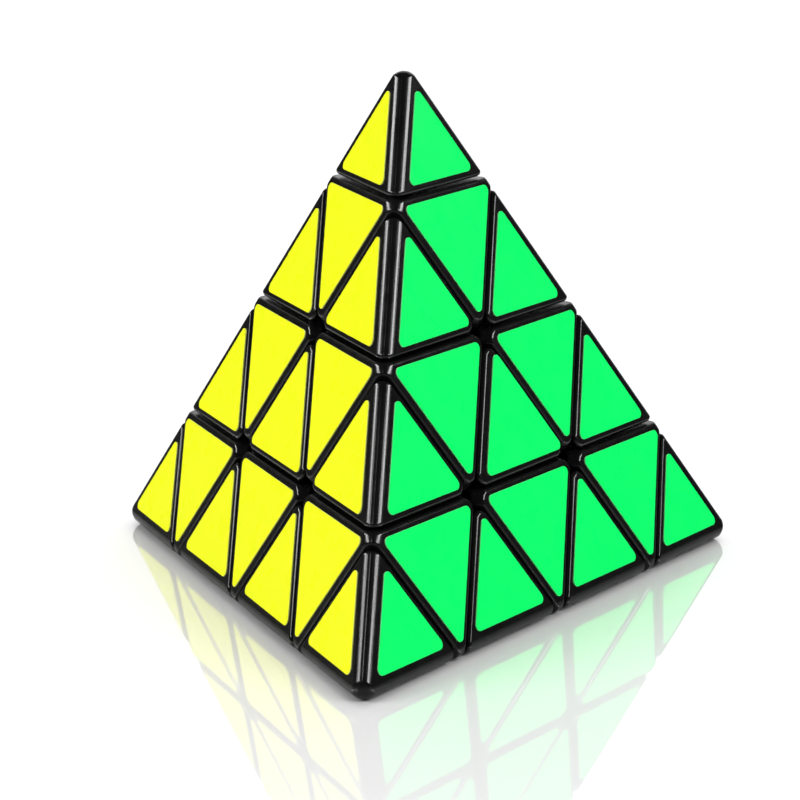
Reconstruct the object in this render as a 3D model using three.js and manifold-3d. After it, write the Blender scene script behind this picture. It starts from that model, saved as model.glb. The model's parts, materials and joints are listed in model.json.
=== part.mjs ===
// Pyramid twisty puzzle: a tetrahedron cut into four layers from each of its vertices.
//
// Millimetres, +Z up. The puzzle rests on one face at z = 0, and the origin is the centre of that face.
// Everything is laid out from the puzzle's centroid, where the four turning axes meet. Each axis runs out
// to a vertex: top, front, right or left. A piece is a cell between cut planes square to those axes, and
// inside it carries feet and grooves that are concentric with the centroid, so that they slide past each
// other in any turn.
import * as THREE from "three";
import { ConvexGeometry } from "three/addons/geometries/ConvexGeometry.js";
import { mergeVertices } from "three/addons/utils/BufferGeometryUtils.js";
import Module from "manifold-3d";

const wasm = await Module();
wasm.setup();

// ---- Driving dimensions, mm ----

const EDGE = 120; // from vertex to vertex, if the vertices were sharp
const LAYERS = 4;
const GAP = 0.3; // between neighbouring pieces
const EDGE_FLAT = 1.5; // how deep the puzzle's long edges are cut back
const VERTEX_FLAT = 4.6; // how deep its vertices are cut back
const WALL = 2; // of the hollow pieces
const CLEARANCE = 0.5; // around a part that turns in a groove

const HEIGHT = EDGE * Math.sqrt(2 / 3);
const LAYER = HEIGHT / LAYERS; // also the centroid's height above the base
const EDGE_DISTANCE = LAYER * Math.sqrt(3); // from the centroid to the middle of a long edge

const CORE = { ballR: 11.7, armR: 3.6, armEnd: 14.3, boreR: 1.8, boreStart: 4.6 };
const SEAT_R = 12.4; // the round hollow that the inner pieces leave for the core
const DOME = { innerR: 15, outerR: 18, halfAngle: 37, boreR: 1.9 };
const DOME_SLOT_TURN = 2; // degrees that the dome's slot is wider than the dome, each way
const FACE_FOOT = { outerR: 14, halfAngle: 28 };
const FACE_GROOVE = { outerR: 14.4, halfAngle: 29.5 };
const MIDDLE_HOLLOW = { seatR: 20.5, openingR: 2, openingEnd: 24 };
const FACE_HOLLOW = { openingR: 1.5, openingEnd: 22 };
const WING_FOOT = { innerR: 5.4, outerR: 12, roofR: 28.2, halfAngle: 35 };
const WING_GROOVE = { outerR: 12.5, roofR: 28.7 };
const STEM = { r: 5, start: 18.9, boreR: 1.8 };
const WELL = { r: 3.4, floor: 22 };
const SCREW = { shankR: 1.5, start: 5, headStart: 37.6, headR: 2.9, headHeight: 2.4, socketR: 1.3 };
const SPRING = { start: 22.3, end: 37.3, coilR: 2.45, wireR: 0.36, turns: 6 };
const PLUG = { r: 3.1, start: 42.5, end: 47.5, boreR: 1.3 };
const TIP_HOLLOW = { r: 4, end: 57.5 };
const TIP_BASE = { r: 3.7, start: 49.4, end: 51, boreR: 1.4 };
const TIP_SCREW = { shankR: 1, start: 43, headStart: 54.8, headR: 2.4, headHeight: 1.6, socketR: 1 };
const TIP_SPRING = { start: 51.3, end: 54.5, coilR: 1.85, wireR: 0.25, turns: 3 };
const SOCKET_DEPTH = 1.1; // of the hexagonal socket in a screw's head

const ROUND = 16; // segments in a full circle
const ARC_STEPS = 3; // straight steps in each arc of a turned profile
const WIRE_SIDES = 4;
const STEPS_PER_COIL = 7;
const REACH = 80; // longer than anything a cutting tool has to pass through

// ---- The four axes ----

const SIDEWAYS = Math.sqrt(8) / 3; // how far a lower vertex's direction leans out, as a sine
const AXES = {
  top: new THREE.Vector3(0, 0, 1),
  front: new THREE.Vector3(0, -SIDEWAYS, -1 / 3),
  right: new THREE.Vector3(SIDEWAYS * Math.cos(Math.PI / 6), SIDEWAYS / 2, -1 / 3),
  left: new THREE.Vector3(-SIDEWAYS * Math.cos(Math.PI / 6), SIDEWAYS / 2, -1 / 3),
};
const CORNERS = Object.keys(AXES);
const FACE_OPPOSITE = { top: "bottom", front: "back", right: "left", left: "right" };

const edgeDirection = (a, b) => AXES[a].clone().add(AXES[b]).normalize();

/** The half turn that carries the top vertex to the named one and the puzzle onto itself. */
function turnTo(corner) {
  const turn = new THREE.Quaternion();
  return corner === "top" ? turn : turn.setFromAxisAngle(edgeDirection("top", corner), Math.PI);
}

/** The name of the vertex that a direction points at. */
const cornerAt = (direction) =>
  CORNERS.reduce((best, name) =>
    direction.dot(AXES[name]) > direction.dot(AXES[best]) ? name : best,
  );

// ---- Solids ----

function solid(geometry) {
  const bare = geometry.clone();
  bare.deleteAttribute("normal");
  bare.deleteAttribute("uv");
  const merged = mergeVertices(bare, 1e-4);
  return new wasm.Manifold(
    new wasm.Mesh({
      numProp: 3,
      vertProperties: merged.attributes.position.array,
      triVerts: new Uint32Array(merged.index.array),
    }),
  );
}

function geometryOf(body) {
  const { vertProperties, triVerts } = body.getMesh();
  const geometry = new THREE.BufferGeometry();
  geometry.setAttribute("position", new THREE.BufferAttribute(vertProperties, 3));
  geometry.setIndex(new THREE.BufferAttribute(triVerts, 1));
  geometry.computeVertexNormals();
  return geometry;
}

/** The convex solid where every plane's normal . x <= offset. */
function convex(planes) {
  const corners = [];
  const across = new THREE.Matrix3();
  planes.forEach((p, i) =>
    planes.slice(i + 1).forEach((q, j) =>
      planes.slice(i + j + 2).forEach((r) => {
        across.set(...p.normal, ...q.normal, ...r.normal);
        if (Math.abs(across.determinant()) < 1e-6) return;
        const point = new THREE.Vector3(p.offset, q.offset, r.offset).applyMatrix3(across.invert());
        const inside = planes.every(({ normal, offset }) => normal.dot(point) < offset + 1e-6);
        if (inside && !corners.some((other) => other.distanceTo(point) < 1e-4)) corners.push(point);
      }),
    ),
  );
  return solid(new ConvexGeometry(corners));
}

/**
 * One cell of the puzzle. levels gives, for each vertex, the two cut planes that the cell lies between,
 * counted in layers from the centroid: -1 is the face opposite that vertex and 3 is the vertex itself.
 * inset moves every wall inwards, for a hollow.
 */
function cell(levels, inset = 0) {
  const planes = [];
  for (const name of CORNERS) {
    const [low, high] = levels[name];
    const outside = low === -1;
    planes.push({
      normal: AXES[name].clone().negate(),
      offset: -low * LAYER - (outside ? 0 : GAP / 2) - inset,
    });
    planes.push({
      normal: AXES[name],
      offset: (high === 3 ? high * LAYER - VERTEX_FLAT : high * LAYER - GAP / 2) - inset,
    });
  }
  CORNERS.forEach((a, i) =>
    CORNERS.slice(i + 1).forEach((b) =>
      planes.push({ normal: edgeDirection(a, b), offset: EDGE_DISTANCE - EDGE_FLAT - inset }),
    ),
  );
  return convex(planes);
}

const ball = (r) => solid(new THREE.SphereGeometry(r, ROUND, ROUND / 2));

/** A cylinder on the +Z axis from start to end, leaned over to another direction if one is given. */
function rod(r, start, end, segments = ROUND, direction = AXES.top) {
  const geometry = new THREE.CylinderGeometry(r, r, end - start, segments)
    .rotateX(Math.PI / 2)
    .translate(0, 0, (start + end) / 2);
  return solid(geometry.applyQuaternion(new THREE.Quaternion().setFromUnitVectors(AXES.top, direction)));
}

/** Points on a circle about the centroid, by their angle from the axis in degrees. */
function arc(r, from, to) {
  return Array.from({ length: ARC_STEPS + 1 }, (_, i) => {
    const angle = THREE.MathUtils.degToRad(from + ((to - from) * i) / ARC_STEPS);
    return new THREE.Vector2(r * Math.sin(angle), r * Math.cos(angle));
  });
}

/** A profile (distance from the axis, height) turned about +Z. */
const turned = (profile) => solid(new THREE.LatheGeometry(profile, ROUND).rotateX(Math.PI / 2));

/** A bowl-shaped piece of the shell between two radii about the centroid, facing a direction. */
function cap(innerR, outerR, halfAngle, direction = AXES.top) {
  const profile = [...arc(innerR, 0, halfAngle), ...arc(outerR, halfAngle, 0)];
  const geometry = new THREE.LatheGeometry(profile, ROUND).rotateX(Math.PI / 2);
  return solid(geometry.applyQuaternion(new THREE.Quaternion().setFromUnitVectors(AXES.top, direction)));
}

class Helix extends THREE.Curve {
  constructor(radius, start, end, turns) {
    super();
    Object.assign(this, { radius, start, end, turns });
  }
  getPoint(t, target = new THREE.Vector3()) {
    const angle = t * this.turns * 2 * Math.PI;
    const height = this.start + (this.end - this.start) * t;
    return target.set(this.radius * Math.cos(angle), this.radius * Math.sin(angle), height);
  }
}

// ---- Pieces, each made for the top vertex ----

/** The slot that the retaining dome of one vertex turns in. */
const domeSlot = (corner) =>
  cap(
    DOME.innerR - CLEARANCE,
    DOME.outerR + CLEARANCE,
    DOME.halfAngle + DOME_SLOT_TURN,
    AXES[corner],
  );

function core() {
  let body = ball(CORE.ballR);
  for (const name of CORNERS) body = body.add(rod(CORE.armR, 0, CORE.armEnd, ROUND, AXES[name]));
  for (const name of CORNERS) {
    body = body.subtract(rod(CORE.boreR, CORE.boreStart, REACH, ROUND, AXES[name]));
  }
  return body;
}

/** A surface piece with two stickers in the middle of a long edge; this one lies between top and front. */
function middleEdge() {
  const levels = { top: [0, 1], front: [0, 1], right: [-1, 0], left: [-1, 0] };
  const outwards = edgeDirection("top", "front");
  const { seatR, openingR, openingEnd } = MIDDLE_HOLLOW;
  let body = cell(levels).subtract(ball(SEAT_R));
  for (const name of ["top", "front"]) body = body.subtract(domeSlot(name));
  for (const name of ["right", "left"]) {
    const inwards = AXES[name].clone().negate();
    body = body.subtract(cap(CORE.armR, FACE_GROOVE.outerR, FACE_GROOVE.halfAngle, inwards));
  }
  return body
    .subtract(cell(levels, WALL).subtract(ball(seatR)))
    .subtract(rod(openingR, 0, openingEnd, ROUND, outwards));
}

/** The one-sticker piece in the middle of a face; this one is opposite the top vertex. */
function faceCentre() {
  const levels = { top: [-1, 0], front: [0, 3], right: [0, 3], left: [0, 3] };
  const inwards = AXES.top.clone().negate();
  let body = cell(levels).subtract(ball(SEAT_R));
  body = body.add(cap(SEAT_R, FACE_FOOT.outerR, FACE_FOOT.halfAngle, inwards));
  for (const name of ["front", "right", "left"]) body = body.subtract(domeSlot(name));
  return body.subtract(rod(FACE_HOLLOW.openingR, 0, FACE_HOLLOW.openingEnd, ROUND, inwards));
}

/** The retaining dome: it holds the inner pieces down and turns with its corner. */
function dome() {
  const { innerR, outerR, halfAngle, boreR } = DOME;
  const hole = (r) => THREE.MathUtils.radToDeg(Math.asin(boreR / r));
  const profile = [
    ...arc(innerR, hole(innerR), halfAngle),
    ...arc(outerR, halfAngle, hole(outerR)),
  ];
  return turned([...profile, profile[0]]);
}

/**
 * The profile of a ring between two distances from the axis, from a flat floor up to a roof that is
 * round about the centroid.
 */
function domedRing(innerR, outerR, floor, roofR) {
  const roof = (r) => new THREE.Vector2(r, Math.sqrt(roofR * roofR - r * r));
  return [
    new THREE.Vector2(innerR, floor),
    new THREE.Vector2(outerR, floor),
    roof(outerR),
    roof((innerR + outerR) / 2),
    roof(innerR),
    new THREE.Vector2(innerR, floor),
  ];
}

/** The three-sticker piece under a tip, on a round stem with a well for its screw and spring. */
function axial() {
  const levels = { top: [1, 2], front: [-1, 0], right: [-1, 0], left: [-1, 0] };
  const { outerR, roofR } = WING_GROOVE;
  return cell(levels)
    .subtract(turned(domedRing(STEM.r, outerR, LAYER - WALL, roofR)))
    .add(rod(STEM.r, STEM.start, LAYER + WALL))
    .subtract(rod(WELL.r, WELL.floor, REACH))
    .subtract(rod(STEM.boreR, 0, REACH));
}

/** The two-sticker piece between a tip and the middle of a long edge, here towards the front vertex. */
function wing() {
  const { innerR, outerR, roofR, halfAngle } = WING_FOOT;
  const profile = domedRing(innerR, outerR, LAYER + GAP / 2, roofR);
  const side = REACH * Math.tan(THREE.MathUtils.degToRad(halfAngle));
  const wedge = new THREE.Shape([
    new THREE.Vector2(0, 0),
    new THREE.Vector2(-side, -REACH),
    new THREE.Vector2(side, -REACH),
  ]);
  const sector = solid(new THREE.ExtrudeGeometry(wedge, { depth: REACH, bevelEnabled: false }));
  const levels = { top: [1, 3], front: [0, 3], right: [-1, 3], left: [-1, 3] };
  return cell(levels).add(turned(profile).intersect(sector));
}

/** The smallest piece, at a vertex, hollow from below for its own screw and spring. */
function tip() {
  const levels = { top: [2, 3], front: [-1, 3], right: [-1, 3], left: [-1, 3] };
  return cell(levels).subtract(rod(TIP_HOLLOW.r, 0, TIP_HOLLOW.end));
}

function disc({ r, start, end, boreR }) {
  return rod(r, start, end).subtract(rod(boreR, 0, REACH));
}

function screw({ shankR, start, headStart, headR, headHeight, socketR }) {
  const headEnd = headStart + headHeight;
  return rod(shankR, start, headStart + headHeight / 2)
    .add(rod(headR, headStart, headEnd))
    .subtract(rod(socketR, headEnd - SOCKET_DEPTH, REACH, 6));
}

function spring({ start, end, coilR, wireR, turns }) {
  const wire = new THREE.Shape(
    Array.from({ length: WIRE_SIDES }, (_, i) => {
      const angle = (i * 2 * Math.PI) / WIRE_SIDES;
      return new THREE.Vector2(wireR * Math.cos(angle), wireR * Math.sin(angle));
    }),
  );
  const path = new Helix(coilR, start + wireR, end - wireR, turns);
  return solid(new THREE.ExtrudeGeometry(wire, { extrudePath: path, steps: turns * STEPS_PER_COIL }));
}

// ---- Assembly ----

const plastic = (color, roughness = 0.35) =>
  new THREE.MeshStandardMaterial({ color, roughness, metalness: 0 });
const steel = (color) => new THREE.MeshStandardMaterial({ color, roughness: 0.3, metalness: 1 });

const centroid = new THREE.Group();
centroid.position.z = LAYER;

function mesh(name, geometry, material) {
  const made = new THREE.Mesh(geometry, material);
  made.name = name;
  return made;
}

const shapes = Object.fromEntries(
  Object.entries({
    tip: tip(),
    tip_base: disc(TIP_BASE),
    tip_screw: screw(TIP_SCREW),
    tip_spring: spring(TIP_SPRING),
    axial: axial(),
    axial_plug: disc(PLUG),
    axial_screw: screw(SCREW),
    axial_spring: spring(SPRING),
    dome: dome(),
    wing: wing(),
    middle_edge: middleEdge(),
    face_centre: faceCentre(),
    core: core(),
  }).map(([name, body]) => [name, geometryOf(body)]),
);

const finishes = {
  tip_base: () => plastic(0x1d1e20, 0.5),
  axial_plug: () => plastic(0x2a2b2e, 0.5),
  dome: () => plastic(0x2a2b2e, 0.5),
  core: () => plastic(0x3a3b3e, 0.5),
  tip_screw: () => steel(0xb8bac0),
  axial_screw: () => steel(0xb8bac0),
  tip_spring: () => steel(0x9fa2a8),
  axial_spring: () => steel(0x9fa2a8),
};

function piece(kind, name) {
  const finish = finishes[kind] ?? (() => plastic(0x0c0d0e));
  return mesh(name, shapes[kind], finish());
}

const THIRD = (2 * Math.PI) / 3;
const AROUND = ["front", "right", "left"]; // the lower vertices in turning order about +Z

centroid.add(piece("core", "core"));

for (const corner of CORNERS) {
  const group = new THREE.Group();
  group.quaternion.copy(turnTo(corner));
  centroid.add(group);

  const alone = ["tip", "tip_base", "tip_screw", "tip_spring", "axial", "axial_plug"];
  alone.push("axial_screw", "axial_spring", "dome");
  for (const kind of alone) group.add(piece(kind, `${kind}_${corner}`));
  group.add(piece("face_centre", `face_centre_${FACE_OPPOSITE[corner]}`));

  AROUND.forEach((name, i) => {
    const towards = cornerAt(AXES[name].clone().applyQuaternion(group.quaternion));
    const made = piece("wing", `wing_${corner}_${towards}`);
    made.rotation.z = i * THIRD;
    group.add(made);
  });
}

// The upper middle edges run down from the top vertex; each lower one is the upper one's opposite.
AROUND.forEach((name, i) => {
  const upper = piece("middle_edge", `middle_edge_top_${name}`);
  upper.rotation.z = i * THIRD;
  centroid.add(upper);

  const [a, b] = AROUND.filter((other) => other !== name);
  const swap = new THREE.Quaternion().setFromAxisAngle(edgeDirection("top", "right"), Math.PI);
  const lower = piece("middle_edge", `middle_edge_${a}_${b}`);
  lower.quaternion.setFromAxisAngle(AXES.top, i * THIRD).multiply(swap);
  centroid.add(lower);
});

const puzzle = new THREE.Group();
puzzle.add(centroid);

export default puzzle;
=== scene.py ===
import itertools
import json
import math
import random

import bmesh
import bpy
import numpy as np
from mathutils import Matrix, Quaternion, Vector


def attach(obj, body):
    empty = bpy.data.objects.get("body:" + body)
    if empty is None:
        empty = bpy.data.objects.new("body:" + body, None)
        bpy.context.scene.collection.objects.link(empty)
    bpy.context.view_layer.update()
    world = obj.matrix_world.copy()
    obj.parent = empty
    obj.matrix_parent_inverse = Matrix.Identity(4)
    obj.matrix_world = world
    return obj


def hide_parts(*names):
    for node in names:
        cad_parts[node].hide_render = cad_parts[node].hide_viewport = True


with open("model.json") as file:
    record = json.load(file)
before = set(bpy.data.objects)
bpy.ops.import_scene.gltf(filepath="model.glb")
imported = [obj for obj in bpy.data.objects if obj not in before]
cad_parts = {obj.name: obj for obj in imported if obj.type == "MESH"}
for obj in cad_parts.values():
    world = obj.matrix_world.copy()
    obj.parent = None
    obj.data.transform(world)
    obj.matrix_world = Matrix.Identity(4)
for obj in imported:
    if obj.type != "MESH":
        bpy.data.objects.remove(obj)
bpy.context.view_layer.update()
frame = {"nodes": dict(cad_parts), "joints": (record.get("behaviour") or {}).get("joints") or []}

random.seed(4)

MM = 0.001

# ---- The puzzle's geometry, read from the frame ----

LAYER = frame["joints"][0]["pos_m"][2] / MM  # a layer's thickness, and the centroid's height
AXES = {
    joint["name"].split("_")[0]: np.array(joint["axis"]) / np.linalg.norm(joint["axis"])
    for joint in frame["joints"]
    if joint["name"].endswith("_corner_turn")
}
CORNERS = list(AXES)
HEIGHT = 4 * LAYER
EDGE_DISTANCE = LAYER * math.sqrt(3)  # from the centroid to the middle of a long edge
CENTROID = Vector((0, 0, LAYER * MM))
SLANT = math.sqrt(8) / 3  # how fast one axis's level grows along a face, by distance along the face

# Each face is opposite one corner.
FACE = {"top": "bottom", "front": "back", "right": "left", "left": "right"}
FACE_COLOUR = {"top": "red", "front": "blue", "right": "yellow", "left": "green"}

# ---- Sizes of the moulded shapes, mm ----

SKIN = 0.05  # how far the rounded shape lies inside the CAD's flat faces
HALF_GAP = 0.15  # half of the CAD's gap between neighbours
RIM_R = 0.7  # the rounding of every rim
CORNER_R = 2.1  # the rounding of a piece's corner where six pieces meet on a face
LONG_EDGE_CUT = 1.5  # how deep the pyramid's long edges are cut back
LONG_EDGE_R = 2.0  # the rounding on each side of that cut
SEAM_WIDTH = 0.2  # the faint ridge along each long edge, where the halves of the mould met
SEAM_HEIGHT = 0.032
SEAM_REACH = 1.0  # how far down a piece's rounded end the ridge runs
VERTEX_R = 2.74  # the round end at each corner of the pyramid
MERGE_DISTANCE = 0.01  # points of a rounded shape closer than this become one
CAD_MERGE_DISTANCE = 1e-4  # the same for the corners of an imported mesh's faces
MEETING_DISTANCE = 1e-5  # a plane this close to a vertex passes through it
VERTEX_DIGITS = 3  # vertices that agree to this decimal are one
SEAM_DISTANCE = 1e-3  # a vertex this close to a seam's line lies on it
BISECT_DISTANCE = 1e-5  # a vertex this close to a cut isn't cut again
TINY = 1e-6  # what counts as nothing after rounding errors
PIECE_SHARP_ANGLE = math.radians(35)  # a steeper edge between two faces stays sharp

# How finely the roundings are drawn.
LONG_EDGE_ARC = 5  # planes in the rounding on each side of the long edge's cut
CORNER_ARC = 3  # planes in the rounding of a piece's corner
VERTEX_RINGS = 6  # rings of planes round the pyramid's corner, the innermost with one plane
VERTEX_RINGS_TO_EDGE = 4  # the ring that holds the directions of the three long edges' cuts
VERTEX_RING_GROWTH = 6  # planes in the next ring, with as many more in each ring after it
ROLLED_SHARES = (0.25, 0.5, 0.75)  # where the rolled ball is sampled between two planes
BALL_SUBDIVISIONS = 4

STICKER_EDGE_MARGIN = 3.75  # from the sharp long edge
STICKER_UP_MARGIN = 1.77  # from the middle of the gap, on tips, wings and face centres
STICKER_DOWN_MARGIN = 1.26  # from the middle of the gap, on the axials and middle edges
STICKER_CORNER_R = 1.0
STICKER_CORNER_STEPS = 6
STICKER_THICKNESS = 0.2  # from the piece's skin to the sticker's top
STICKER_SUNK = 0.02  # how far its underside is sunk into the skin
STICKER_BEVEL = 0.05
STICKER_BEVEL_KNEE = 0.3  # where the bevel bends, as a share of it
STICKER_CUT_BANDS = 2  # the lower bands of its side, which show the paler core
STICKER_SHARP_ANGLE = math.radians(40)
STICKER_SLIP = 0.05  # how far a sticker was laid off its place
STICKER_TURN = math.radians(0.25)
SLID_NODE = "face_centre_right"  # its sticker was laid off towards the right corner
STICKER_SLIDE = 0.95  # by this much

# ---- Levels ----
# A piece lies between two levels of each axis, in layers from the centroid: -1 is the outer face
# opposite that corner, and 3 is the corner itself. Each kind is given at its first place.

KINDS = {
    "tip": {"top": (2, 3), "front": (-1, 3), "right": (-1, 3), "left": (-1, 3)},
    "axial": {"top": (1, 2), "front": (-1, 0), "right": (-1, 0), "left": (-1, 0)},
    "wing": {"top": (1, 3), "front": (0, 3), "right": (-1, 3), "left": (-1, 3)},
    "middle_edge": {"top": (0, 1), "front": (0, 1), "right": (-1, 0), "left": (-1, 0)},
    "face_centre": {"top": (-1, 3), "front": (0, 3), "right": (0, 3), "left": (0, 3)},
}
FIRST_NODE = {
    "tip": "tip_top",
    "axial": "axial_top",
    "wing": "wing_top_front",
    "middle_edge": "middle_edge_top_front",
    "face_centre": "face_centre_bottom",
}
# Within this radius of the centroid, the feet and stems are kept just as the CAD has them, mm.
KEPT_RADIUS = {"axial": 28.3, "wing": 28.3, "face_centre": 14.6}


def unit(vector):
    return vector / np.linalg.norm(vector)


def edge_direction(a, b):
    """From the centroid to the middle of the long edge between two corners."""
    return unit(AXES[a] + AXES[b])


# ---- Convex shapes with rounded edges ----
# A plane is (normal, offset), and a point is inside it while normal . point <= offset, in mm from the
# centroid. A piece's planes are drawn in by the rim's radius, and a ball of that radius then rolls over
# what is left, which rounds every edge.


def between(first, second, radius, count):
    """That many planes, which round the edge where two others meet."""
    (a, a_offset), (b, b_offset) = first, second
    angle = math.acos(np.dot(a, b))
    steps = count + 1
    planes = []
    for i in range(1, steps):
        a_share = math.sin(angle * (1 - i / steps)) / math.sin(angle)
        b_share = math.sin(angle * i / steps) / math.sin(angle)
        offset = a_share * (a_offset - radius) + b_share * (b_offset - radius) + radius
        planes.append((a_share * a + b_share * b, offset))
    return planes


def long_edge_planes(a, b, inset):
    """The cut-back long edge between two corners, with its roundings."""
    middle = edge_direction(a, b)
    flat = (middle, EDGE_DISTANCE - LONG_EDGE_CUT - inset)
    planes = [flat]
    for c in CORNERS:
        if c not in (a, b):
            side = (-AXES[c], LAYER - inset)
            planes += between(flat, side, LONG_EDGE_R - RIM_R, LONG_EDGE_ARC)
    return planes


def vertex_planes(corner, inset):
    """A round end at a corner of the pyramid: planes that touch a ball there."""
    axis = AXES[corner]
    faces = np.column_stack([-AXES[c] for c in CORNERS if c != corner])
    sideways = unit(faces[:, 0] - axis * np.dot(axis, faces[:, 0]))
    across = np.cross(axis, sideways)
    edge_angle = math.acos(LAYER / EDGE_DISTANCE)
    centre = (EDGE_DISTANCE - LONG_EDGE_CUT - VERTEX_R) / math.cos(edge_angle)
    planes = []
    for ring in range(VERTEX_RINGS):
        tilt = edge_angle * ring / VERTEX_RINGS_TO_EDGE
        count = max(1, VERTEX_RING_GROWTH * ring)
        for step in range(count):
            azimuth = math.tau * step / count
            outward = sideways * math.cos(azimuth) + across * math.sin(azimuth)
            normal = axis * math.cos(tilt) + outward * math.sin(tilt)
            # Only directions between the three faces that meet there are kept.
            if min(np.linalg.solve(faces, normal)) > -TINY:
                planes.append((normal, centre * np.dot(axis, normal) + VERTEX_R - inset))
    return planes


def long_edges(levels):
    """The pairs of corners whose long edge a piece has a stretch of."""
    pairs = itertools.combinations(CORNERS, 2)
    return [p for p in pairs if all(levels[c][0] == -1 for c in CORNERS if c not in p)]


def cell_planes(levels):
    """The planes inside which the rolling ball's centre stays, for one piece."""
    inset = SKIN + RIM_R
    faces, cuts = [], {}
    for corner, (low, high) in levels.items():
        if low == -1:
            faces.append((-AXES[corner], LAYER - inset))
        else:
            cuts[corner, "low"] = (-AXES[corner], -low * LAYER - HALF_GAP - inset)
        if high < 3:
            cuts[corner, "high"] = (AXES[corner], high * LAYER - HALF_GAP - inset)
    planes = faces + list(cuts.values())
    edges = long_edges(levels)
    for (a, a_side), (b, b_side) in itertools.combinations(cuts, 2):
        on_long_edge = a_side == "high" and (a, b) in edges
        if a != b and a_side == b_side and not on_long_edge:
            planes += between(cuts[a, a_side], cuts[b, b_side], CORNER_R - RIM_R, CORNER_ARC)
    for a, b in edges:
        planes += long_edge_planes(a, b, inset)
    for corner in CORNERS:
        if levels[corner][0] == 2:
            planes += vertex_planes(corner, inset)
    return planes


def vertices_inside(planes):
    """The vertices of the solid inside the planes, each with the planes that meet there."""
    normals = np.array([normal for normal, _ in planes])
    offsets = np.array([offset for _, offset in planes])
    triples = np.array(list(itertools.combinations(range(len(planes)), 3)))
    matrices = normals[triples]
    crossing = np.abs(np.linalg.det(matrices)) > TINY
    points = np.linalg.solve(matrices[crossing], offsets[triples[crossing]][..., None])[..., 0]
    inside = np.all(points @ normals.T <= offsets + TINY, axis=1)
    found = {}
    for point in points[inside]:
        meeting = np.flatnonzero(np.abs(normals @ point - offsets) < MEETING_DISTANCE)
        found[tuple(np.round(point, VERTEX_DIGITS))] = (point, normals[meeting])
    return list(found.values())


def rolled_points(planes, radius):
    """Points on the surface that a ball's far side reaches as its centre keeps inside the planes."""
    points = []
    for vertex, normals in vertices_inside(planes):
        points += [vertex + radius * normal for normal in normals]
        points.append(vertex + radius * unit(normals.sum(axis=0)))
        for a, b in itertools.combinations(normals, 2):
            points += [vertex + radius * unit(a * (1 - t) + b * t) for t in ROLLED_SHARES]
    return points


# ---- Meshes ----


def mesh_from(made, name):
    mesh = bpy.data.meshes.new(name)
    made.to_mesh(mesh)
    made.free()
    return mesh


def new_object(name, mesh):
    made = bpy.data.objects.new(name, mesh)
    bpy.context.scene.collection.objects.link(made)
    return made


def hull_mesh(name, points, seamed_edges):
    """The convex mesh around points in mm from the centroid, with its mould seams."""
    made = bmesh.new()
    for point in points:
        made.verts.new(CENTROID + Vector(point) * MM)
    bmesh.ops.remove_doubles(made, verts=made.verts, dist=MERGE_DISTANCE * MM)
    hull = bmesh.ops.convex_hull(made, input=made.verts)
    left_over = hull["geom_interior"] + hull["geom_unused"]
    spare = {v for v in left_over if isinstance(v, bmesh.types.BMVert)}
    bmesh.ops.delete(made, geom=list(spare), context="VERTS")
    for pair in seamed_edges:
        raise_seam(made, pair)
    bmesh.ops.recalc_face_normals(made, faces=made.faces)
    return mesh_from(made, name)


def merged(mesh):
    """A copy of an imported mesh whose faces share their corners again."""
    made = bmesh.new()
    made.from_mesh(mesh)
    bmesh.ops.remove_doubles(made, verts=made.verts, dist=CAD_MERGE_DISTANCE * MM)
    return mesh_from(made, "merged")


def ball_mesh(radius):
    """A ball round the centroid."""
    made = bmesh.new()
    bmesh.ops.create_icosphere(made, subdivisions=BALL_SUBDIVISIONS, radius=radius * MM)
    bmesh.ops.translate(made, verts=made.verts, vec=CENTROID)
    return mesh_from(made, "ball")


def boolean(mesh, tool_mesh, operation):
    """The mesh joined with, or cut down to what it shares with, another."""
    target, tool = new_object("target", mesh), new_object("tool", tool_mesh)
    modifier = target.modifiers.new("boolean", "BOOLEAN")
    modifier.operation = operation
    modifier.solver = "EXACT"
    modifier.object = tool
    depsgraph = bpy.context.evaluated_depsgraph_get()
    made = bpy.data.meshes.new_from_object(target.evaluated_get(depsgraph))
    bpy.data.objects.remove(target)
    bpy.data.objects.remove(tool)
    return made


def shade_smooth(mesh, sharp_angle):
    """Smooth shading, but for the edges where two faces turn by more than that angle."""
    made = bmesh.new()
    made.from_mesh(mesh)
    for face in made.faces:
        face.smooth = True
    for edge in made.edges:
        edge.smooth = edge.calc_face_angle(0) < sharp_angle
    made.to_mesh(mesh)
    made.free()


def raise_seam(made, pair):
    """Raises the mould seam along the stretch of long edge between two corners."""
    middle = Vector(edge_direction(*pair))
    one, other = [AXES[c] for c in CORNERS if c not in pair]
    across = Vector(unit(one - other))
    for offset in (-SEAM_WIDTH / 2, 0, SEAM_WIDTH / 2):
        everything = made.verts[:] + made.edges[:] + made.faces[:]
        place = CENTROID + across * offset * MM
        near = BISECT_DISTANCE * MM
        bmesh.ops.bisect_plane(made, geom=everything, dist=near, plane_co=place, plane_no=across)
    outside = (EDGE_DISTANCE - LONG_EDGE_CUT - SEAM_REACH) * MM
    for vertex in made.verts:
        place = vertex.co - CENTROID
        if abs(place.dot(across)) < SEAM_DISTANCE * MM and place.dot(middle) > outside:
            vertex.co += middle * SEAM_HEIGHT * MM


def piece_mesh(kind):
    """A CAD piece trimmed to its rounded outside, with its feet, wells and grooves left as they are."""
    levels = KINDS[kind]
    mesh = hull_mesh(kind, rolled_points(cell_planes(levels), RIM_R), long_edges(levels))
    if kind in KEPT_RADIUS:
        mesh = boolean(mesh, ball_mesh(KEPT_RADIUS[kind]), "UNION")
    mesh = boolean(mesh, merged(frame["nodes"][FIRST_NODE[kind]].data), "INTERSECT")
    mesh.name = kind
    mesh.materials.clear()
    shade_smooth(mesh, PIECE_SHARP_ANGLE)
    return mesh


# ---- Places ----


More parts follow.
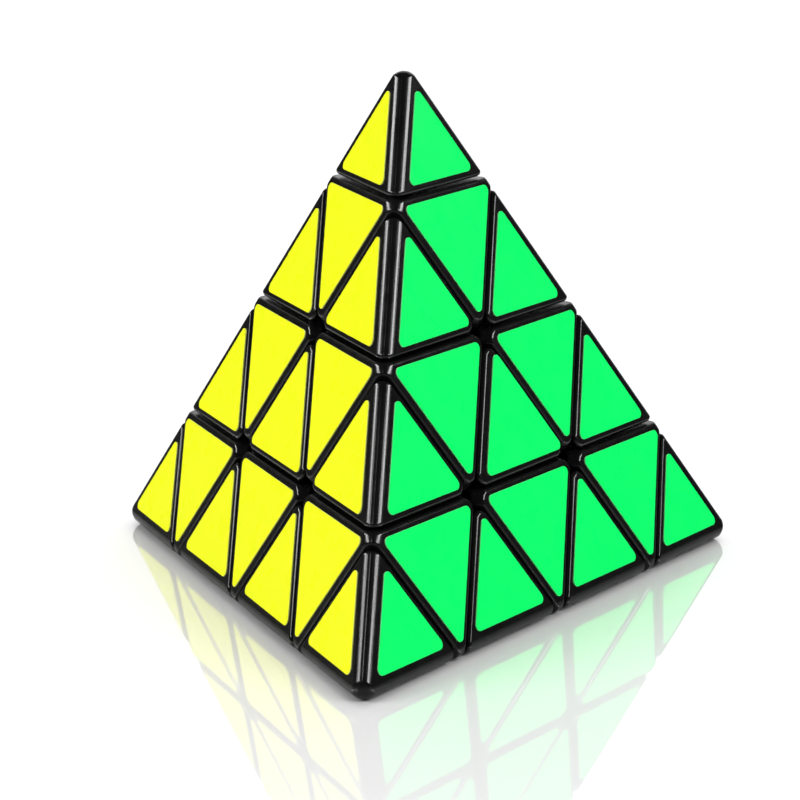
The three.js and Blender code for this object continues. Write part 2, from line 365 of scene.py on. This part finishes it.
def carry(top_to, front_to):
    """The turn about the centroid that carries top and front to two other corners."""

    def basis(a, b):
        return np.column_stack([AXES[a], AXES[b], np.cross(AXES[a], AXES[b])])

    turn = Matrix((basis(top_to, front_to) @ np.linalg.inv(basis("top", "front"))).tolist())
    return Matrix.Translation(CENTROID) @ turn.to_4x4() @ Matrix.Translation(-CENTROID)


def nearest_corner(turn, corner):
    """The corner that a turn carries another to."""
    carried = np.array(turn.to_3x3() @ Vector(AXES[corner]))
    return max(CORNERS, key=lambda other: np.dot(AXES[other], carried))


def places():
    """Each surface piece: its CAD node, kind and body, and where top and front go."""
    rows = []
    for a in CORNERS:
        others = [c for c in CORNERS if c != a]
        rows.append((f"tip_{a}", "tip", f"{a}_tip", a, others[0]))
        rows.append((f"axial_{a}", "axial", f"{a}_corner", a, others[0]))
        rows.append((f"face_centre_{FACE[a]}", "face_centre", "centre", a, others[0]))
        rows += [(f"wing_{a}_{b}", "wing", f"{a}_corner", a, b) for b in others]
    for node in frame["nodes"]:
        if node.startswith("middle_edge_"):
            a, b = node.removeprefix("middle_edge_").split("_")
            rows.append((node, "middle_edge", "centre", a, b))
    return rows


# ---- Stickers ----


def sticker_lines(levels, face):
    """The sticker's three sides on a face, each as (outward direction along the face, distance)."""
    sides = [corner for corner in CORNERS if corner != face]
    # A triangle's lower levels add up to 0 if it points the way the whole face does, and to -1 if not.
    points_up = sum(levels[corner][0] for corner in sides) == 0
    lines = []
    for corner in sides:
        low, high = levels[corner]
        along = unit(AXES[corner] - AXES[face] * np.dot(AXES[corner], AXES[face]))
        if points_up:
            margin = STICKER_EDGE_MARGIN if low == -1 else STICKER_UP_MARGIN
            lines.append((-along, (1 / 3 - low) * LAYER / SLANT - margin))
        else:
            lines.append((along, (high - 1 / 3) * LAYER / SLANT - STICKER_DOWN_MARGIN))
    return lines


def rounded_triangle(lines, up, radius, inset):
    """The outline inside three lines, with round corners, as points along the face."""
    outline = []
    for i in range(3):
        (a, a_offset), (b, b_offset) = lines[i], lines[(i + 1) % 3]
        system = np.array([up, a, b])
        centre = np.linalg.solve(system, [0, a_offset - radius, b_offset - radius])
        across = unit(b - a * np.dot(a, b))
        for step in range(STICKER_CORNER_STEPS + 1):
            angle = math.acos(np.dot(a, b)) * step / STICKER_CORNER_STEPS
            outward = a * math.cos(angle) + across * math.sin(angle)
            outline.append(centre + (radius - inset) * outward)
    return outline


def sticker_mesh(levels, face):
    """A thin vinyl triangle: its cut edge, its softened rim and its top."""
    up = -AXES[face]
    lines = sticker_lines(levels, face)
    knee = STICKER_BEVEL * STICKER_BEVEL_KNEE
    # Each ring's inset from the outline, and its height over the CAD's face.
    layers = (
        (0, -SKIN - STICKER_SUNK),
        (0, STICKER_THICKNESS - STICKER_BEVEL - SKIN),
        (knee, STICKER_THICKNESS - knee - SKIN),
        (STICKER_BEVEL, STICKER_THICKNESS - SKIN),
    )
    made = bmesh.new()
    rings = []
    for inset, height in layers:
        lift = up * (LAYER + height)
        outline = rounded_triangle(lines, up, STICKER_CORNER_R, inset)
        rings.append([made.verts.new(CENTROID + Vector(p + lift) * MM) for p in outline])
    made.faces.new(rings[0])
    made.faces.new(rings[-1])
    count = len(rings[0])
    for level, (lower, upper) in enumerate(zip(rings, rings[1:])):
        for i in range(count):
            j = (i + 1) % count
            side = made.faces.new((lower[i], lower[j], upper[j], upper[i]))
            side.material_index = int(level < STICKER_CUT_BANDS)
    bmesh.ops.recalc_face_normals(made, faces=made.faces)
    mesh = mesh_from(made, "sticker")
    shade_smooth(mesh, STICKER_SHARP_ANGLE)
    return mesh


def nudge(face_normal, middle):
    """The small slip and turn with which a sticker was laid by hand, about its own middle."""
    normal = Vector(face_normal)
    sideways = normal.orthogonal().normalized()
    heading = Quaternion(normal, random.uniform(0, math.tau)) @ sideways
    slip = heading * random.uniform(0, STICKER_SLIP) * MM
    turn = Matrix.Rotation(random.uniform(-STICKER_TURN, STICKER_TURN), 4, normal)
    return Matrix.Translation(middle + slip) @ turn @ Matrix.Translation(-middle)


# ---- Materials ----

NOISE_RANGE = (0.3, 0.7)  # most of a noise's values
MOTTLE_SHADE = 0.97  # a sticker's colour where it is mottled, as a share of it
CORE_WHITE = 0.25  # white mixed into a sticker's core
CORE_COLOUR = 0.65  # and how much of its colour
DIRT_SHADE = 0.85  # the core's colour where it is dirty, as a share of it


def add(tree, kind, links=(), **settings):
    """A node of that kind. Links are {socket: value, or the output that feeds it}."""
    node = tree.nodes.new(kind)
    for name, value in settings.items():
        setattr(node, name, value)
    for socket, value in dict(links).items():
        if isinstance(value, bpy.types.NodeSocket):
            tree.links.new(value, node.inputs[socket])
        else:
            node.inputs[socket].default_value = value
    return node


def noise(tree, place, scale, detail=3.0, roughness=0.55):
    """Noise of that many blotches to a millimetre."""
    links = {"Vector": place, "Scale": scale / MM, "Detail": detail, "Roughness": roughness}
    return add(tree, "ShaderNodeTexNoise", links).outputs["Fac"]


def ramp(tree, value, low, high):
    """Carries most of a noise's range to low and high."""
    links = {"Value": value, "To Min": low, "To Max": high}
    links["From Min"], links["From Max"] = NOISE_RANGE
    return add(tree, "ShaderNodeMapRange", links).outputs["Result"]


def mix(tree, share, first, second):
    """A colour that goes from the first to the second as the share goes from 0 to 1."""
    node = add(tree, "ShaderNodeMix", {"Factor": share}, data_type="RGBA")
    # The node keeps a set of sockets for each data type: 6 and 7 are the colours in, 2 the colour out.
    node.inputs[6].default_value = (*first, 1)
    node.inputs[7].default_value = (*second, 1)
    return node.outputs[2]


def bump(tree, height, depth, strength, under=None):
    """A bump that deep, in mm, on top of another if one is given."""
    links = {"Height": height, "Distance": depth * MM, "Strength": strength}
    if under is not None:
        links["Normal"] = under
    return add(tree, "ShaderNodeBump", links).outputs["Normal"]


def start_material(name, **settings):
    """A material, its node tree, its shader and its object coordinates."""
    made = bpy.data.materials.new(name)
    made.use_nodes = True
    tree = made.node_tree
    shader = tree.nodes["Principled BSDF"]
    for socket, value in settings.items():
        shader.inputs[socket.replace("_", " ")].default_value = value
    place = tree.nodes.new("ShaderNodeTexCoord").outputs["Object"]
    return made, tree, shader, place


def feed(tree, shader, colour, roughness, normal):
    """Links the outputs that make a surface into its shader."""
    tree.links.new(colour, shader.inputs["Base Color"])
    tree.links.new(roughness, shader.inputs["Roughness"])
    tree.links.new(normal, shader.inputs["Normal"])


def black_plastic():
    """Satin black ABS: a fine moulded grain, uneven gloss, and hairline handling marks."""
    made, tree, shader, place = start_material("black_plastic", IOR=1.5, Specular_IOR_Level=0.18)
    blotches = noise(tree, place, scale=0.05, detail=2)
    colour = mix(tree, blotches, (0.0022, 0.0022, 0.0025), (0.005, 0.0048, 0.0046))
    gloss = ramp(tree, noise(tree, place, scale=0.35, detail=4), low=0.16, high=0.24)
    grain = bump(tree, noise(tree, place, scale=6, detail=3), depth=0.006, strength=0.6)
    stretch = {"Vector": place, "Scale": (0.04, 1, 0.3)}
    stretched = add(tree, "ShaderNodeMapping", stretch).outputs["Vector"]
    hairlines = noise(tree, stretched, scale=5, detail=2)
    feed(tree, shader, colour, gloss, bump(tree, hairlines, depth=0.004, strength=0.5, under=grain))
    return made


def sticker_vinyl(name, colour):
    """Satin vinyl: a printed colour with a slight mottle, and an orange-peel surface."""
    made, tree, shader, place = start_material(f"{name}_vinyl", IOR=1.45, Specular_IOR_Level=0.08)
    mottle = ramp(tree, noise(tree, place, scale=0.5, detail=5, roughness=0.7), low=0, high=1)
    print_colour = mix(tree, mottle, [MOTTLE_SHADE * part for part in colour], colour)
    gloss = ramp(tree, noise(tree, place, scale=0.2, detail=3), low=0.25, high=0.33)
    peel = bump(tree, noise(tree, place, scale=2.5, detail=2), depth=0.004, strength=0.4)
    feed(tree, shader, print_colour, gloss, peel)
    return made


def vinyl_core(name, colour):
    """The paler core that shows where a sticker was cut."""
    made, tree, shader, place = start_material(f"{name}_core", IOR=1.45)
    pale = [CORE_WHITE + CORE_COLOUR * part for part in colour]
    dirt = ramp(tree, noise(tree, place, scale=1.5, detail=3), low=0, high=1)
    core_colour = mix(tree, dirt, [DIRT_SHADE * part for part in pale], pale)
    gloss = ramp(tree, noise(tree, place, scale=4, detail=2), low=0.4, high=0.6)
    cut = bump(tree, noise(tree, place, scale=8, detail=2), depth=0.01, strength=0.5)
    feed(tree, shader, core_colour, gloss, cut)
    return made


def inner_plastic():
    """Matt nylon: a coarse spark-eroded grain, polished where it has rubbed."""
    made, tree, shader, place = start_material("inner_plastic", IOR=1.53)
    blotches = noise(tree, place, scale=0.2, detail=4)
    colour = mix(tree, blotches, (0.035, 0.035, 0.04), (0.06, 0.06, 0.066))
    gloss = ramp(tree, noise(tree, place, scale=0.6, detail=4), low=0.42, high=0.62)
    grain = bump(tree, noise(tree, place, scale=4, detail=3), depth=0.02, strength=0.7)
    feed(tree, shader, colour, gloss, grain)
    return made


def steel(name, dark, light, rough_low, rough_high):
    """Drawn and turned steel: brushed rings, uneven gloss and a faint tarnish."""
    made, tree, shader, place = start_material(name, Metallic=1.0)
    tarnish = mix(tree, noise(tree, place, scale=0.4, detail=4), dark, light)
    stretch = {"Vector": place, "Scale": (0.2, 0.2, 4)}
    rings = add(tree, "ShaderNodeMapping", stretch).outputs["Vector"]
    brushed = noise(tree, rings, scale=3, detail=3)
    gloss = ramp(tree, brushed, rough_low, rough_high)
    feed(tree, shader, tarnish, gloss, bump(tree, brushed, depth=0.004, strength=0.5))
    return made


STICKER_COLOURS = {
    "yellow": (0.9, 0.97, 0.012),
    "green": (0.002, 0.96, 0.15),
    "red": (0.88, 0.02, 0.022),
    "blue": (0.008, 0.12, 0.8),
}
MATERIALS = {
    "black_plastic": black_plastic(),
    "inner_plastic": inner_plastic(),
    "steel": steel("steel", (0.47, 0.47, 0.48), (0.62, 0.62, 0.64), 0.2, 0.34),
    "spring_steel": steel("spring_steel", (0.38, 0.38, 0.4), (0.52, 0.52, 0.55), 0.24, 0.4),
}
for name, colour in STICKER_COLOURS.items():
    MATERIALS[f"{name}_sticker"] = sticker_vinyl(name, colour)
    MATERIALS[f"{name}_core"] = vinyl_core(name, colour)
INNER_SLOTS = {
    "core": "inner_plastic",
    "dome": "inner_plastic",
    "axial_plug": "inner_plastic",
    "tip_base": "inner_plastic",
    "axial_screw": "steel",
    "tip_screw": "steel",
    "axial_spring": "spring_steel",
    "tip_spring": "spring_steel",
}


def finish_piece(name, mesh, body, materials):
    """A new piece in place, shaded by face area, riding on its body."""
    piece = new_object(name, mesh)
    for material in materials:
        mesh.materials.append(MATERIALS[material])
    weighted = piece.modifiers.new("weighted_normals", "WEIGHTED_NORMAL")
    weighted.keep_sharp = True
    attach(piece, body)
    return piece


def build_pieces():
    """The 30 surface pieces, each with its stickers."""
    meshes = {kind: piece_mesh(kind) for kind in KINDS}
    for node, kind, body, top_to, front_to in places():
        turn = carry(top_to, front_to)
        mesh = meshes[kind].copy()
        mesh.transform(turn)
        piece = finish_piece(f"shell_{node}", mesh, body, ["black_plastic"])
        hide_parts(node)
        for corner, (low, _) in KINDS[kind].items():
            if low == -1:
                build_sticker(node, kind, corner, turn, body)


def build_sticker(node, kind, corner, turn, body):
    """The sticker on the face opposite that corner of a piece's kind, once the piece is in its place."""
    face = nearest_corner(turn, corner)
    mesh = sticker_mesh(KINDS[kind], corner)
    mesh.transform(turn)
    middle = sum((v.co for v in mesh.vertices), Vector()) / len(mesh.vertices)
    mesh.transform(nudge(-AXES[face], middle))
    if node == SLID_NODE:
        along = unit(AXES["right"] - AXES["front"])
        mesh.transform(Matrix.Translation(Vector(along) * STICKER_SLIDE * MM))
    colour = FACE_COLOUR[face]
    materials = [f"{colour}_sticker", f"{colour}_core"]
    finish_piece(f"sticker_{node}_{FACE[face]}", mesh, body, materials)


def finish_inner_nodes():
    """The CAD nodes inside the puzzle get their materials."""
    for name, node in frame["nodes"].items():
        for prefix, slot in INNER_SLOTS.items():
            if name.startswith(prefix):
                node.data.materials.clear()
                node.data.materials.append(MATERIALS[slot])


# ---- Studio ----

CAMERA_AZIMUTH = math.radians(6.475)
CAMERA_ELEVATION = math.radians(13.302)
CAMERA_ROLL = math.radians(-0.382)
CAMERA_DISTANCE = 580.65  # from the middle of the puzzle's height, mm
CAMERA_AIM = (-1.0, -15.07)  # where it aims, mm to the right of that middle and above it
CAMERA_LENS = 146.68
CAMERA_CLIP = (0.01, 20)  # m

# The room is dark, with a pale backdrop behind the puzzle.
ROOM_LEVEL = 0.04
BACKDROP_LEVEL = 1.15
BACKDROP_DIRECTION = (0, 0.97, 0.25)
BACKDROP_FADE = (0.8, 0.93)  # it fades in between these cosines of the angle to its middle

FLOOR_HALF_SIDE = 6  # m
FLOOR_CLEARANCE = 0.02  # below the bottom stickers, mm

LIGHT_DISTANCE = 1.0  # m
SOFTBOX_HEIGHT = 0.2  # m
SOFTBOXES = {  # direction from the puzzle, power in W, width in m
    "softbox_right": ((0.84, -0.19, 0.56), 27, 1.1),
    "softbox_left": ((-0.8, -0.19, 0.57), 30, 1.45),
}
FILLS = {  # direction from the puzzle, strength, spread in degrees
    "fill_right": ((0.71, -0.245, 0.7), 2.05, 40),
    "fill_left": ((-0.75, -0.275, 0.57), 2.0, 40),
    "fill_top": ((0, 0, 1), 0.9, 60),
    "fill_back": ((0.05, 0.8, 0.75), 2.0, 60),
}


def build_camera():
    """A camera at the photo's angle."""
    right = Vector((math.cos(CAMERA_AZIMUTH), math.sin(CAMERA_AZIMUTH), 0))
    raised = Vector((0, -math.cos(CAMERA_ELEVATION), math.sin(CAMERA_ELEVATION)))
    back = Matrix.Rotation(CAMERA_AZIMUTH, 3, "Z") @ raised
    middle = Vector((0, 0, HEIGHT / 2))
    place = middle + back * CAMERA_DISTANCE
    target = middle + right * CAMERA_AIM[0] + Vector((0, 0, CAMERA_AIM[1]))
    data = bpy.data.cameras.new("camera")
    data.lens = CAMERA_LENS
    data.clip_start, data.clip_end = CAMERA_CLIP
    camera = new_object("camera", data)
    camera.rotation_mode = "QUATERNION"
    upright = (place - target).to_track_quat("Z", "Y")
    camera.rotation_quaternion = upright @ Quaternion((0, 0, 1), CAMERA_ROLL)
    camera.location = place * MM
    bpy.context.scene.camera = camera


def floor_material():
    """Pale lacquered board: nearly white, faintly glossy, with a trace of mottle."""
    made, tree, shader, place = start_material(
        "floor", IOR=1.6, Roughness=0.03, Coat_Weight=0.6, Coat_Roughness=0.03
    )
    mottle = noise(tree, place, scale=0.004, detail=3)
    colour = mix(tree, mottle, (0.7, 0.7, 0.7), (0.73, 0.73, 0.73))
    tree.links.new(colour, shader.inputs["Base Color"])
    return made


def build_floor():
    """The floor, just below the bottom stickers."""
    made = bmesh.new()
    bmesh.ops.create_grid(made, x_segments=1, y_segments=1, size=FLOOR_HALF_SIDE)
    level = -(STICKER_THICKNESS - SKIN + FLOOR_CLEARANCE) * MM
    bmesh.ops.translate(made, verts=made.verts, vec=(0, 0, level))
    floor = new_object("floor", mesh_from(made, "floor"))
    floor.data.materials.append(floor_material())


def aim(light, direction):
    """Puts a light in that direction from the puzzle, facing it."""
    towards = Vector(direction).normalized()
    light.location = CENTROID + towards * LIGHT_DISTANCE
    light.rotation_mode = "QUATERNION"
    light.rotation_quaternion = towards.to_track_quat("Z", "Y")


def build_softbox(name, direction, power, width):
    """A long window-like light that draws the highlights, and only those."""
    data = bpy.data.lights.new(name, "AREA")
    data.shape = "RECTANGLE"
    data.size = width
    data.size_y = SOFTBOX_HEIGHT
    data.energy = power
    softbox = new_object(name, data)
    softbox.visible_diffuse = False
    aim(softbox, direction)


def build_fill(name, direction, strength, spread):
    """Even light that doesn't show in reflections."""
    data = bpy.data.lights.new(name, "SUN")
    data.energy = strength
    data.angle = math.radians(spread)
    fill = new_object(name, data)
    fill.visible_glossy = False
    aim(fill, direction)


def build_world():
    """The dark room with its backdrop, by the direction from the puzzle."""
    world = bpy.data.worlds.new("studio")
    world.use_nodes = True
    tree = world.node_tree
    direction = tree.nodes.new("ShaderNodeTexCoord").outputs["Generated"]
    links = {0: direction, 1: unit(np.array(BACKDROP_DIRECTION))}
    facing = add(tree, "ShaderNodeVectorMath", links, operation="DOT_PRODUCT").outputs["Value"]
    links = {"Value": facing, "From Min": BACKDROP_FADE[0], "From Max": BACKDROP_FADE[1]}
    share = add(tree, "ShaderNodeMapRange", links, interpolation_type="SMOOTHSTEP").outputs["Result"]
    colour = mix(tree, share, (ROOM_LEVEL,) * 3, (BACKDROP_LEVEL,) * 3)
    tree.links.new(colour, tree.nodes["Background"].inputs["Color"])
    bpy.context.scene.world = world


def build_lights():
    for name, (direction, power, width) in SOFTBOXES.items():
        build_softbox(name, direction, power, width)
    for name, (direction, strength, spread) in FILLS.items():
        build_fill(name, direction, strength, spread)
    build_world()


build_pieces()
finish_inner_nodes()
build_camera()
build_floor()
build_lights()
bpy.context.scene.view_settings.view_transform = "Standard"
